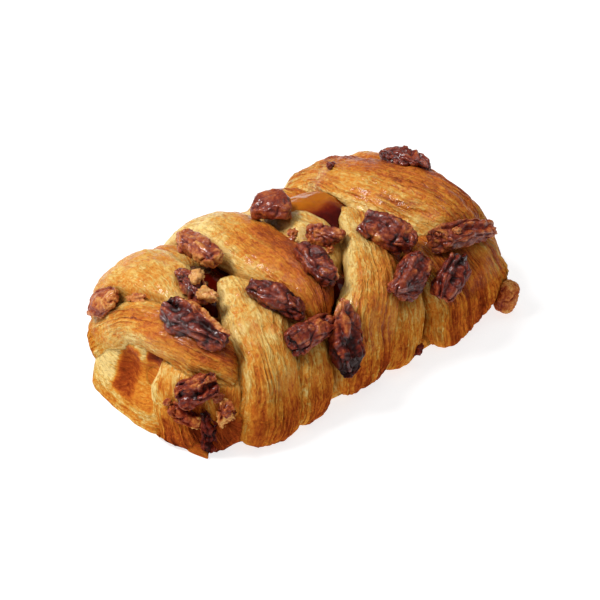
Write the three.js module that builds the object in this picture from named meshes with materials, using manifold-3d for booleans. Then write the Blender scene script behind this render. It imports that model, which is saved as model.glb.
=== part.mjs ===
// Maple pecan plait: a plaited Danish pastry. A sheet of laminated dough is cut
// into strips down both long sides, the strips are folded over a maple filling
// in turn from the far side and the near side, and pecan pieces are baked on top.
// Millimetres, +Z up, X along the plait, -Y the near long side, z = 0 the tray.
import * as THREE from "three";
import { mergeVertices } from "three/addons/utils/BufferGeometryUtils.js";
import Module from "manifold-3d";

const wasm = await Module();
wasm.setup();

// ---- Overall sizes -------------------------------------------------------
const LEFT_END = 59.5; // the loaf envelope that the strips lie on, from X = 0
const RIGHT_END = 62;
const HALF_WIDTH = 37.5;
const HEIGHT = 34.5;
const WAIST = 8; // level of greatest width
const FOOT = 25; // angle below the waist at which the envelope meets the tray
const FAR_POWER = [2.1, 2]; // squareness of the envelope across and up, far side
const NEAR_POWER = [2.5, 2.3]; // the same on the near side
const CORE_SHARE = 0.78; // dough under the strips, as a share of the envelope
const CORE_DROP = 9; // its top, below the envelope's
const UNDER = 3.6; // dough below the middle of each strip
const MIDDLE = [-0.77, -1.83]; // middle of the finished plait in the strips' own X and Y
const SHEET_INSET = 5.5; // base sheet, inside the envelope's outline
const SHEET_TOP = 6;
const GAP = 0.35; // clearance between touching pieces
const TIDY = 0.02; // edges shorter than this are collapsed after a cut
const STRIP_AROUND = 11;
const STRIP_ALONG = 12;
const CORE_AROUND = 20;
const CORE_ALONG = 13;
const FLAP_AROUND = 16;
const FLAP_ALONG = 10;
const NUT_AROUND = 10;
const NUT_ALONG = 6;

// ---- Strips --------------------------------------------------------------
// Each strip lies on the envelope from its root at the base of one long side
// to its tip, and later strips lie over earlier ones. turn is the angle round the
// loaf, 0 the far side, 90 the crown, 180 the near side; at each turn x is the
// place along the loaf, half the half width and lift the height of the strip's
// back over the envelope. thick is the height of the back over the strip's middle,
// roll raises one edge, boxy flattens the back, and press is how far the strip
// presses down those under it.
const FAR = -32;
const NEAR = 212;
const STRIPS = [
  { name: "near_1", turn: [NEAR, 180, 150, 106], x: [-52.4, -55.2, -55.2, -54], half: [14.8, 12.2, 11.6, 7], lift: [3.4, 1.4, 0.4, -5], thick: 6.5, roll: -3, boxy: 0.84, press: 0 },
  { name: "far_1b", turn: [FAR, 50, 70, 103], x: [-41, -40.6, -40.6, -45], half: [11, 12.4, 11.2, 6], lift: [0, 1.7, 1.2, -4.5], thick: 7, roll: 2, boxy: 0.92, press: 0 },
  { name: "far_1", turn: [FAR, 60, 90, 130, 160], x: [-54, -57, -53.6, -47.2, -35], half: [7, 6.6, 6.6, 7.3, 6], lift: [0, 0.6, 1.6, 0.7, -5.5], thick: 6.5, roll: -1, boxy: 0.82, press: 5 },
  { name: "near_2", turn: [NEAR, 180, 128, 97, 86], x: [-38.4, -37, -31.6, -24.4, -21.5], half: [11.2, 9.8, 9.2, 8.8, 7], lift: [5.2, 2.2, 0.6, -1.3, -7.5], thick: 7, roll: -5, boxy: 0.72, press: 4.2 },
  { name: "near_2b", turn: [NEAR, 180, 150, 116], x: [-24, -23.6, -20, -24], half: [8.8, 8.2, 6.8, 5], lift: [2.4, 1, 0, -5], thick: 6.5, roll: -2, boxy: 0.92, press: 0 },
  { name: "far_2b", turn: [FAR, 30, 70, 88, 110], x: [5, 5.5, 4, 4, 2], half: [8, 8, 7.5, 7.5, 5], lift: [0, -3.6, -3.8, 0, -5.5], thick: 5.5, roll: 0, boxy: 0.92, press: 0 },
  { name: "far_2", turn: [FAR, 61, 90, 114, 146], x: [-15, -10.8, -12.4, -9.6, -12], half: [10, 9.4, 11.8, 8.6, 4.2], lift: [0, 1.6, 1, 0.5, -5.5], thick: 7, roll: 7, boxy: 0.76, press: 3.4 },
  { name: "near_3", turn: [NEAR, 180, 152, 127, 93, 80], x: [-3.4, -4.2, -1, 8.8, 20, 28], half: [11.6, 11.8, 10.4, 7.8, 5.6, 6], lift: [1.6, 0.9, 1.2, 0.7, -1.2, -5], thick: 7, roll: -6, boxy: 0.72, press: 3.4 },
  { name: "near_3b", turn: [NEAR, 150, 118], x: [9.8, 15, 15], half: [9.2, 7, 5], lift: [0.8, -0.4, -5], thick: 6.5, roll: -2, boxy: 0.92, press: 0 },
  { name: "end", turn: [FAR, 80, 160, 206], x: [50, 53.5, 52.5, 51], half: [8, 7, 9, 8], lift: [0, -2.2, 0.6, 2], thick: 6.5, roll: 0, boxy: 0.92, press: 0 },
  { name: "far_4", turn: [FAR, 55, 88], x: [42, 44.5, 48], half: [9, 9, 7], lift: [0, -0.4, -5], thick: 6.5, roll: 2, boxy: 0.92, press: 0 },
  { name: "far_3", turn: [FAR, 48, 75, 115, 150], x: [25, 33, 29.8, 42, 50], half: [10, 9, 11.8, 13.2, 9], lift: [0, 0.1, 0.9, 1.2, -2.5], thick: 8, roll: -4, boxy: 0.9, press: 2.6 },
  { name: "near_4", turn: [NEAR, 180, 155, 114], x: [39.4, 37.2, 36, 33], half: [17.4, 16.6, 14.6, 9], lift: [0.2, 0.5, 0.3, -5], thick: 7.5, roll: 5, boxy: 0.68, press: 2.6 },
  { name: "far_1c", turn: [FAR, 45, 70], x: [-27.6, -27.6, -28.6], half: [8.5, 8, 6], lift: [0, -2, -8], thick: 6, roll: 0, boxy: 0.92, press: 0 },
  { name: "far_3b", turn: [FAR, 40, 62], x: [16.4, 17.6, 18.4], half: [8.5, 8, 6], lift: [0, -2.6, -8], thick: 6, roll: 0, boxy: 0.92, press: 0 },
];
const EASE = 0.06; // share of a strip over which its course bends
// Each end is closed by a flap of the sheet, which leans out at its foot and has
// creases pressed into its outside; out is the way it faces along X. One corner at
// the left end is drawn out to a point.
const LEAN_TOP = 13;
const FLAPS = [
  {
    at: [-50, 2, 7], size: [7, 17, 16], lean: 4.2, out: -1,
    creases: [
      { y: 2.6, low: 2, high: 19, wide: 8.4, deep: 1.8 },
      { y: -6.4, low: 13, high: 24, wide: 6, deep: 2.6 },
      { y: -5.6, low: 1, high: 17, wide: 8.4, deep: 2.2 },
    ],
  },
  {
    at: [50.5, 0, 7], size: [7.6, 22, 16.5], lean: 1.5, out: 1,
    creases: [
      { y: 6.5, low: 2, high: 17, wide: 7, deep: 2.2 },
      { y: -6, low: 4, high: 20, wide: 6, deep: 2.4 },
    ],
  },
];
const CORNER = { at: [-53.6, -23.5, 1.5], size: [3.6, 5.8, 4.5], thin: 0.8, low: 0.75, shift: 1.6 };

// ---- Filling -------------------------------------------------------------
// One run of maple filling along the plait, with pools that rise to the gaps
// between the strips.
const FILLING = { from: -44, to: 44, half: 13, low: 8, top: 22 };
const POOLS = [
  { x: 11, turn: 80, top: -2.2, size: [12.5, 11, 6] },
  { x: -30.5, turn: 86, top: -4.4, size: [8, 12.5, 8] },
  { x: -1.2, turn: 123, top: -3.4, size: [4.6, 7, 8] },
];

// ---- Pecans --------------------------------------------------------------
// Broken pecan halves. Each lies on the dough at a place on the envelope, with
// its middle at height rise over it; heading turns the long axis round the
// surface normal from +X, pitch raises its leading end.
const PECANS = [
  { x: -51, turn: 50, rise: 1.8, heading: -76, pitch: 0, size: [11, 8, 5.5] },
  { x: -26.2, turn: 77, rise: 0.7, heading: -96, pitch: -3, size: [18, 8.5, 6.5] },
  { x: -36.9, turn: 92, rise: 0.3, heading: -93, pitch: -4, size: [14, 7.5, 6.5] },
  { x: -45.7, turn: 107, rise: 1.2, heading: -82, pitch: 0, size: [24, 10.5, 7.5] },
  { x: -52.4, turn: 148, rise: 1.5, heading: 8, pitch: 0, size: [14, 8.5, 7] },
  { x: -55.4, turn: 172, rise: 0.6, heading: -27, pitch: 0, size: [11.5, 7.5, 6] },
  { x: -22.8, turn: 117, rise: 0.8, heading: -62, pitch: 0, size: [18, 7.5, 6.5] },
  { x: -21.4, turn: 141, rise: 1, heading: 1, pitch: 0, size: [16.5, 8, 7] },
  { x: -11.2, turn: 153, rise: 1.4, heading: -104, pitch: 0, size: [21, 10, 7.5] },
  { x: 1.6, turn: 76, rise: 1.6, heading: -52, pitch: 0, size: [12.5, 12.5, 7.5] },
  { x: 4.1, turn: 98, rise: -0.9, heading: -51, pitch: 0, size: [11.5, 6.5, 6] },
  { x: -6.1, turn: 111, rise: 1.2, heading: -89, pitch: 0, size: [15, 9, 7] },
  { x: 18.2, turn: 113, rise: 1, heading: -62, pitch: 0, size: [16.8, 9.4, 7.2] },
  { x: 15.6, turn: 140, rise: 1.2, heading: -156, pitch: 0, size: [17.5, 9.5, 7.5] },
  { x: 28.1, turn: 149.5, rise: 1.5, heading: -144, pitch: 0, size: [18.5, 9, 7] },
  { x: 36.5, turn: 133, rise: 1.8, heading: -11, pitch: 0, size: [23.5, 8, 7.5] },
  { x: 44.3, turn: 84, rise: 0.8, heading: -78, pitch: 0, size: [16, 9.5, 7] },
  { x: 47.6, turn: 186, rise: 2.4, heading: -80, pitch: 0, size: [10.5, 8, 7] },
  { x: -52.1, turn: 181, rise: 1.6, heading: -89, pitch: 0, size: [14.5, 5, 5] },
  { x: -49, turn: 169, rise: 1.4, heading: -100, pitch: 0, size: [8.5, 5, 4.5] },
];

// ---- Envelope ------------------------------------------------------------
const rad = THREE.MathUtils.degToRad;
const spow = (v, p) => Math.sign(v) * Math.abs(v) ** p;
const clamp = THREE.MathUtils.clamp;
const lerp = THREE.MathUtils.lerp;
const smooth = THREE.MathUtils.smoothstep;

function taper(x, n) {
  const share = Math.min(0.9999, Math.abs(x / (x < 0 ? LEFT_END : RIGHT_END)) ** n);
  return Math.max(1e-4, 1 - share) ** (1 / 2.2);
}

function skin(x, turn) {
  const c = Math.cos(rad(turn)), s = Math.sin(rad(turn));
  const wide = HALF_WIDTH * taper(x, 5);
  if (s < 0) {
    const below = (turn < 90 ? -turn : turn - 180) / FOOT;
    return new THREE.Vector3(x, Math.sign(c) * (wide - 2 * below ** 2), WAIST * (1 - below));
  }
  const power = c > 0 ? FAR_POWER : NEAR_POWER;
  const z = WAIST + (HEIGHT - WAIST) * taper(x, 7) * s ** (2 / power[1]);
  return new THREE.Vector3(x, wide * spow(c, 2 / power[0]), z);
}

function skinNormal(x, turn) {
  const along = skin(x + 0.5, turn).sub(skin(x - 0.5, turn));
  const round = skin(x, turn + 1.5).sub(skin(x, turn - 1.5));
  return round.cross(along).normalize();
}

function onSkin(x, turn, lift) {
  return skin(x, turn).addScaledVector(skinNormal(x, turn), lift);
}

// ---- Solids --------------------------------------------------------------
function solid(geometry) {
  const g = geometry.clone();
  g.deleteAttribute("normal");
  g.deleteAttribute("uv");
  const m = mergeVertices(g, 1e-3);
  const vertProperties = new Float32Array(m.attributes.position.array);
  const triVerts = new Uint32Array(m.index.array);
  const made = new wasm.Manifold(new wasm.Mesh({ numProp: 3, vertProperties, triVerts }));
  if (made.volume() > 0) return made;
  // the moulding turned the sphere inside out, so its faces are turned back
  return new wasm.Manifold(new wasm.Mesh({ numProp: 3, vertProperties, triVerts: triVerts.reverse() }));
}

function geometryOf(manifold) {
  const m = manifold.getMesh(), n = m.numProp;
  const v = new Float32Array(m.numVert * 3);
  for (let i = 0; i < m.numVert; i++) v.set(m.vertProperties.subarray(i * n, i * n + 3), i * 3);
  const g = new THREE.BufferGeometry();
  g.setAttribute("position", new THREE.BufferAttribute(v, 3));
  g.setIndex(new THREE.BufferAttribute(new Uint32Array(m.triVerts), 1));
  g.computeVertexNormals();
  return g;
}

// A sphere whose points are moved by place(s, u): s runs 0 to 1 from pole to
// pole, u is the angle round.
function moulded(around, along, place) {
  const g = new THREE.SphereGeometry(1, around, along);
  const p = g.getAttribute("position");
  for (let i = 0; i < p.count; i++) {
    const s = Math.acos(THREE.MathUtils.clamp(p.getY(i), -1, 1)) / Math.PI;
    const u = Math.atan2(p.getZ(i), p.getX(i));
    const v = place(s, u);
    p.setXYZ(i, v.x, v.y, v.z);
  }
  return solid(g);
}

// The main body of a cut or join, without crumbs and sealed pockets.
function largest(manifold) {
  return manifold.simplify(TIDY).decompose().reduce((a, b) => (b.volume() > a.volume() ? b : a));
}

// A rounded block, squarer for a larger power; shape may move its points.
function block([x, y, z], [a, b, c], power, around, along, shape = (v) => v) {
  const e = 2 / power;
  return moulded(around, along, (s, u) => {
    const r = spow(Math.sin(Math.PI * s), e);
    return shape(
      new THREE.Vector3(
        x + a * r * spow(Math.cos(u), e),
        y + b * r * spow(Math.sin(u), e),
        z + c * spow(Math.cos(Math.PI * s), e),
      ),
    );
  });
}

// One of a strip's sizes at share s of its turn, eased where its course bends.
function along(spec, key, s) {
  const { turn } = spec, last = turn.length - 1;
  const at = (share) => {
    const here = lerp(turn[0], turn[last], clamp(share, 0, 1));
    let i = 1;
    while (i < last && (here - turn[i]) * (turn[last] - turn[0]) > 0) i++;
    return lerp(spec[key][i - 1], spec[key][i], (here - turn[i - 1]) / (turn[i] - turn[i - 1]));
  };
  return (at(s - EASE) + 2 * at(s) + at(s + EASE)) / 4;
}
const turnAt = ({ turn }, s) => lerp(turn[0], turn[turn.length - 1], s);

// How far a point of one strip is pressed down by the strips over it.
const COURSES = STRIPS.map((spec) =>
  Array.from({ length: 61 }, (_, k) => ({
    at: skin(along(spec, "x", k / 60), turnAt(spec, k / 60)),
    half: along(spec, "half", k / 60),
    firm: clamp((along(spec, "lift", k / 60) + 3.5) / 2.5, 0, 1),
  })),
);
function pressedDown(point, number) {
  let down = 0;
  for (let i = number + 1; i < STRIPS.length; i++) {
    if (!STRIPS[i].press) continue;
    const near = COURSES[i].reduce((a, b) => (point.distanceTo(b.at) < point.distanceTo(a.at) ? b : a));
    const under = smooth(3.2 - (point.distanceTo(near.at) - near.half), 0, 5.5);
    down = Math.max(down, STRIPS[i].press * near.firm * under);
  }
  return down;
}

function strip(spec, number, grow) {
  const spine = (s) => onSkin(along(spec, "x", s), turnAt(spec, s), along(spec, "lift", s) - spec.thick);
  return moulded(STRIP_AROUND, STRIP_ALONG, (s, u) => {
    const round = Math.sqrt(Math.max(0, 1 - Math.abs(2 * s - 1) ** 7));
    const n = skinNormal(along(spec, "x", s), turnAt(spec, s));
    const t = spine(Math.min(1, s + 0.01)).sub(spine(Math.max(0, s - 0.01))).normalize();
    const across = new THREE.Vector3().crossVectors(t, n).normalize();
    const side = spow(Math.cos(u), spec.boxy) * (along(spec, "half", s) + grow) * round;
    const up = spow(Math.sin(u), spec.boxy) * ((Math.sin(u) > 0 ? spec.thick : UNDER) + grow) * round;
    const point = spine(s)
      .addScaledVector(across, side)
      .addScaledVector(n, up + Math.tan(rad(spec.roll)) * side)
      .addScaledVector(t, Math.sign(s - 0.5) * grow * (1 - round));
    return point.addScaledVector(n, -pressedDown(point, number));
  });
}

// The dough inside the plait, under the strips.
function core(grow) {
  return moulded(CORE_AROUND, CORE_ALONG, (s, u) => {
    const reach = (s > 0.5 ? LEFT_END : RIGHT_END) - 4 + grow;
    const x = reach * Math.cos(Math.PI * s);
    const end = Math.sqrt(Math.max(0, 1 - (x / reach) ** 8));
    const y = (HALF_WIDTH * CORE_SHARE + grow) * end * spow(Math.cos(u), 0.8);
    const z = (HEIGHT - CORE_DROP - WAIST + grow) * end * spow(Math.sin(u), 0.85);
    return new THREE.Vector3(x, y, WAIST + z);
  });
}

// The uncut middle of the sheet, which the plait stands on.
function sheet(grow) {
  return block(
    [(RIGHT_END - LEFT_END) / 2, 0, 0],
    [(LEFT_END + RIGHT_END) / 2 - SHEET_INSET + grow, HALF_WIDTH - SHEET_INSET + grow, SHEET_TOP + grow],
    4, CORE_AROUND + 4, 8,
  );
}

function filling(grow) {
  const { from, to, half, low, top } = FILLING;
  const reach = (to - from) / 2 + grow;
  let made = block(
    [(from + to) / 2, 0, (low + top) / 2],
    [reach, half + grow, (top - low) / 2 + grow],
    4, 16, 8,
  );
  for (const { x, turn, top: rise, size } of POOLS) {
    const c = onSkin(x, turn, rise - size[2]);
    made = made.add(block([c.x, c.y, c.z], size.map((v) => v + grow), 2.4, 12, 8));
  }
  return largest(made);
}

// An end flap, leaning out at its foot, with its creases pressed in from outside.
function flap({ at, size, lean, out, creases }, grow) {
  return block(at, size.map((v) => v + grow), 3, FLAP_AROUND, FLAP_ALONG, (v) => {
    v.x += out * lean * clamp(1 - v.z / LEAN_TOP, 0, 1.2);
    if (out * (v.x - at[0]) < 0) return v;
    for (const { y, low, high, wide, deep } of creases) {
      const reach = clamp((v.z - low) / 3, 0, 1) * clamp((high - v.z) / 3, 0, 1);
      v.x -= out * deep * reach * Math.exp(-(((v.y - y) / (wide / 2)) ** 2));
    }
    return v;
  });
}

// The drawn-out corner, thinner towards -Y.
function corner(grow) {
  const { at, size, thin, low, shift } = CORNER;
  return block(at, size.map((v) => v + grow), 2.2, 10, 6, (v) => {
    const s = clamp((at[1] - v.y) / size[1], 0, 1);
    v.x = at[0] + (v.x - at[0]) * (1 - thin * s) - shift * s;
    v.z *= 1 - low * s;
    return v;
  });
}

function doughWhole(grow) {
  let made = core(grow).add(sheet(grow)).add(corner(grow));
  for (const spec of FLAPS) made = made.add(flap(spec, grow));
  STRIPS.forEach((spec, i) => (made = made.add(strip(spec, i, grow))));
  return made;
}

// A pecan half: a long oval with a groove down its back and lobes beside it.
function pecan({ x, turn, rise, heading, pitch, size }, grow) {
  const n = skinNormal(x, turn);
  const ex = new THREE.Vector3(1, 0, 0).addScaledVector(n, -n.x).normalize();
  const ey = new THREE.Vector3().crossVectors(n, ex);
  const long = ex.multiplyScalar(Math.cos(rad(heading))).addScaledVector(ey, Math.sin(rad(heading)));
  const wide = new THREE.Vector3().crossVectors(n, long);
  const tilt = new THREE.Quaternion().setFromAxisAngle(wide, -rad(pitch));
  long.applyQuaternion(tilt);
  const high = n.clone().applyQuaternion(tilt);
  const c = onSkin(x, turn, rise);
  return moulded(NUT_AROUND, NUT_ALONG, (s, u) => {
    const r = Math.sin(Math.PI * s) ** 0.75;
    const groove = 1 - 0.22 * Math.max(0, Math.sin(u)) ** 6;
    return c
      .clone()
      .addScaledVector(long, (size[0] / 2 + grow) * Math.cos(Math.PI * s))
      .addScaledVector(wide, (size[1] / 2 + grow) * r * spow(Math.cos(u), 0.85))
      .addScaledVector(high, (size[2] / 2 + grow) * r * spow(Math.sin(u), 0.8) * groove);
  });
}

const tray = solid(new THREE.BoxGeometry(400, 400, 100).translate(0, 0, -50));
const dough = largest(doughWhole(0).subtract(tray).subtract(filling(GAP)));
const covered = doughWhole(GAP);

const root = new THREE.Group();
root.name = "maple_pecan_plait";
function show(name, manifold, colour, roughness) {
  const mesh = new THREE.Mesh(
    geometryOf(manifold),
    new THREE.MeshStandardMaterial({ color: colour, roughness, metalness: 0 }),
  );
  mesh.name = name;
  mesh.geometry.translate(-MIDDLE[0], -MIDDLE[1], 0);
  root.add(mesh);
}
show("dough", dough, 0xd9a24a, 0.5);
show("maple_filling", filling(0), 0x7a3410, 0.25);
let laid = filling(GAP);
PECANS.forEach((spec, i) => {
  const piece = largest(pecan(spec, 0).subtract(covered).subtract(laid));
  show("pecan_" + String(i + 1).padStart(2, "0"), piece, 0x5e2c18, 0.35);
  laid = laid.add(pecan(spec, GAP));
});

export default root;
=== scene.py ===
"""Maple pecan plait: the baked surface of the plait, its filling and its pecans.

Lengths are millimetres while shapes are worked out, and metres in Blender.
X runs along the plait, -Y is its near long side, z = 0 is the surface it lies on.
"""
import math

import bmesh
import bpy
import numpy as np
from mathutils import Matrix, Vector
from mathutils.bvhtree import BVHTree
from mathutils.kdtree import KDTree


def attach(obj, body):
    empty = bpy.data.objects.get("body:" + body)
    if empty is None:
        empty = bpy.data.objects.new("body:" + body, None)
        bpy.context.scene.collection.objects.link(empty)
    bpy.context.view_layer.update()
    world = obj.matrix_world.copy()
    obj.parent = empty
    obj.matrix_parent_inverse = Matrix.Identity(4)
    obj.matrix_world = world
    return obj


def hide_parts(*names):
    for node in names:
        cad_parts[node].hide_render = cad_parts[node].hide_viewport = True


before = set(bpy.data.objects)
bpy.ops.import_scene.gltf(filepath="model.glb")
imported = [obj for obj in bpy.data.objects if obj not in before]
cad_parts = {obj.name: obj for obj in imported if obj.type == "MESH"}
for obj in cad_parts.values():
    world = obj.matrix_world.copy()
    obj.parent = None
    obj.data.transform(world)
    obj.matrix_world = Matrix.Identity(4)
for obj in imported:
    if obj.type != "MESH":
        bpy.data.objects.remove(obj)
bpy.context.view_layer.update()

# ---- Overall sizes, as in the construction ---------------------------------
LEFT_END, RIGHT_END = 59.5, 62.0
HALF_WIDTH, HEIGHT, WAIST, FOOT = 37.5, 34.5, 8.0, 25.0
FAR_POWER, NEAR_POWER = (2.1, 2.0), (2.5, 2.3)
CORE_SHARE, SHEET_INSET, SHEET_TOP = 0.78, 5.5, 6.0
MIDDLE = np.array([-0.77, -1.83, 0.0])
FAR, NEAR = -32.0, 212.0

# Strips of dough, later ones lying over earlier ones. Rows run from root to tip:
# turn round the loaf, place along it, half width, height over the loaf's outline.
# thick is half the thickness, roll raises the edge on the strip's own left, press
# is how far the strip presses down those under it, bake is how brown it is from
# root to tip, lean how much browner its left side is, layer how strongly its rolled
# layers show, and boxy is below 1 for a strip with a flatter top.
STRIPS = [
    dict(name="near_1", rows=[(212, -52.2, 14.8, 4.2), (196, -53.4, 13.8, 3.2), (180, -55, 12.2, 1.9), (150, -55.2, 11.6, 0.9), (128, -54.6, 9.5, -1.2), (106, -54, 7, -5)],
         thick=6.5, roll=-3, press=0.0, boxy=0.84, bake=(1.25, 0.46, 0.2), lean=0.35, layer=0.9),
    dict(name="far_1b", rows=[(-32, -41, 11, 0), (10, -42, 11, 0.5), (50, -40.6, 12.4, 1.7), (70, -40.6, 11.2, 1.2), (82, -43, 8.4, 0.2), (90, -44.4, 6.8, -1.6), (103, -45, 6, -4.5)],
         thick=7.0, roll=2, press=0.0, bake=(0.6, 0.5, 0.15), lean=0.1, layer=0.5),
    dict(name="far_1", rows=[(-32, -54, 7, 0), (20, -56, 7, 0.2), (60, -56.2, 6.4, 0.6), (90, -53.2, 6.4, 1.6), (110, -50.5, 6.9, 1.2), (130, -47.2, 7.3, 0.7), (142, -43, 6.6, 0.1), (152, -38, 5.2, -2.4), (160, -35, 4.4, -5.5)],
         thick=6.5, roll=-1, press=5.0, boxy=0.82, bake=(0.5, 0.36, 0.24, 0.86, 0.86), lean=-0.15, layer=0.9),
    dict(name="near_2", rows=[(212, -38.4, 11.2, 5.2), (196, -38, 10.8, 3.8), (180, -37, 9.8, 2.2), (150, -34.2, 9, 1.3), (128, -31.6, 9.2, 0.6), (112, -27.8, 9, -0.2), (103, -25.6, 8.8, -0.7), (97, -24.4, 8.8, -1.3), (92, -23, 8.4, -4.4), (86, -21.5, 7, -7.5)],
         thick=7.0, roll=-2, press=4.2, boxy=0.8, bake=(0.8, 0.74, 0.52, 0.28, 0.22), lean=0.1, layer=1.0),
    dict(name="near_2b", rows=[(212, -24, 8.8, 2.4), (196, -24, 8.6, 1.7), (180, -23.6, 8.2, 1.0), (150, -20, 6.8, 0), (132, -21, 5.8, -2), (116, -24, 5, -5)],
         thick=6.5, roll=-2, press=0.0, bake=(0.65, 0.52, 0.25), lean=0.1, layer=1.0),
    dict(name="far_2b", rows=[(-32, 5, 8, 0), (30, 5.5, 8, -3.6), (70, 4, 7.5, -3.8), (88, 4, 7.5, 0.7), (98, 3.6, 6, -0.3), (110, 2, 5, -5.5)],
         thick=5.5, roll=0, press=0.0, bake=(0.5, 0.2, 0.05), lean=0.0, layer=0.4),
    dict(name="far_2", rows=[(-32, -15, 10, 0), (20, -12.4, 9.4, 0), (61, -10.8, 9.4, 1.6), (90, -12.4, 11.8, 1.0), (102, -10.6, 10.2, 0.8), (114, -9.6, 8.6, 0.5), (122, -10.4, 6.8, -0.3), (132, -12, 4.6, -1.8), (146, -12, 4.2, -5.5)],
         thick=7.0, roll=3.5, press=3.4, boxy=0.76, bake=(0.35, 0.24, 0.12, 0.88, 1.0), lean=-0.34, layer=1.0),
    dict(name="near_3", rows=[(212, -3.4, 11.6, 1.6), (196, -3.6, 11.7, 1.3), (180, -4.2, 11.8, 0.9), (152, -1, 10.4, 1.2), (138, 5.1, 8.6, 1.1), (127, 8.8, 7.8, 0.7), (112, 13.2, 7.2, 0.0), (101, 16.8, 6.6, -0.6), (93, 20, 5.6, -1.2), (86, 24.5, 5.6, -2.6), (80, 28, 6, -5)],
         thick=7.0, roll=-6, press=3.4, boxy=0.72, bake=(0.88, 0.78, 0.62, 0.4, 0.44), lean=0.3, layer=1.2),
    dict(name="near_3b", rows=[(212, 8.8, 9.2, 1.2), (180, 10.6, 8.2, -0.7), (150, 15, 6.8, -2.2), (135, 16, 6.2, -3.4), (118, 15, 5, -6)],
         thick=6.5, roll=-2, press=0.0, bake=(0.44, 0.28, 0.2), lean=0.1, layer=1.0),
    dict(name="end", rows=[(-32, 50, 8, 0), (30, 52, 7.5, 0), (80, 53.5, 7, -2.2), (130, 53.5, 8.5, -0.8), (160, 52.5, 9, 0.6), (185, 51.6, 9, 2.0), (206, 51, 8, 2.0)],
         thick=6.5, roll=0, press=0.0, bake=(0.7, 0.75, 0.8), lean=0.0, layer=0.8),
    dict(name="far_4", rows=[(-32, 42, 9, 0), (20, 43, 9, 0), (55, 44.5, 9, -0.4), (70, 46, 8, -1.6), (88, 48, 7, -5)],
         thick=6.5, roll=2, press=0.0, bake=(0.6, 0.6, 0.7), lean=0.0, layer=0.8),
    dict(name="far_3", rows=[(-32, 25, 10, 0), (20, 30.5, 9.5, 0.2), (48, 33, 9, -0.3), (62, 32.6, 9.2, 0), (75, 29.8, 11.8, 0.8), (95, 36.2, 13.2, 1.6), (115, 42, 13.2, 1.2), (132, 46.5, 11, 0.2), (150, 50, 9, -2.5)],
         thick=8.0, roll=-6, press=2.6, boxy=0.9, bake=(0.5, 0.74, 0.7), lean=-0.46, layer=1.5),
    dict(name="near_4", rows=[(212, 41.6, 17.0, -0.4), (180, 38.2, 16.8, 0.7), (155, 36.2, 14.7, 0.6), (135, 34, 11.5, -1.5), (114, 33, 9, -5)],
         thick=7.5, roll=2.5, press=2.6, boxy=0.68, bake=(0.72, 0.8, 0.72), lean=0.0, layer=1.5),
    dict(name="far_1c", rows=[(-32, -27.6, 8.5, 0), (20, -27.4, 8.5, -0.6), (45, -27.6, 8, -2), (60, -28, 7, -5), (70, -28.6, 6, -8)],
         thick=6.0, roll=0, press=0.0, bake=(0.7, 0.6, 0.45), lean=0.1, layer=1.0),
    dict(name="far_3b", rows=[(-32, 16.4, 8.5, 0), (20, 17, 8.5, -0.8), (40, 17.6, 8, -2.6), (54, 18, 7, -5.5), (62, 18.4, 6, -8)],
         thick=6.0, roll=0, press=0.0, bake=(0.7, 0.6, 0.5), lean=-0.1, layer=1.0),
]
FLAP_AT, FLAP_SIZE = (-50.0, 2.0, 7.0), (7.0, 17.0, 16.0)
RIGHT_FLAP_AT, RIGHT_FLAP_SIZE = (50.5, 0.0, 7.0), (7.6, 22.0, 16.5)
# In the left flap's creases, the brown of the third crease is painted shade from the ridge beside it.
CREASES = [dict(y=2.8, low=6, high=19, wide=8.4, deep=1.9, brown=1.12), dict(y=-6.4, low=13, high=24, wide=6.0, deep=2.6, brown=1.3), dict(y=-5.6, low=6, high=17, wide=8.4, deep=2.2, brown=0.6)]
RIGHT_CREASES = [dict(y=6.5, low=2, high=17, wide=7.0, deep=2.2, brown=0.5), dict(y=-6.0, low=4, high=20, wide=6.0, deep=2.4, brown=0.42)]

FILLING = dict(start=-44.0, stop=44.0, half=13.0, low=8.0, top=22.0)
POOLS = [
    dict(x=11, turn=80, top=-2.2, size=(12.5, 11, 6)),
    dict(x=-30.5, turn=86, top=-4.4, size=(8, 12.5, 8)),
    dict(x=-1.2, turn=123, top=-3.4, size=(4.6, 7, 8)),
]

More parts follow.
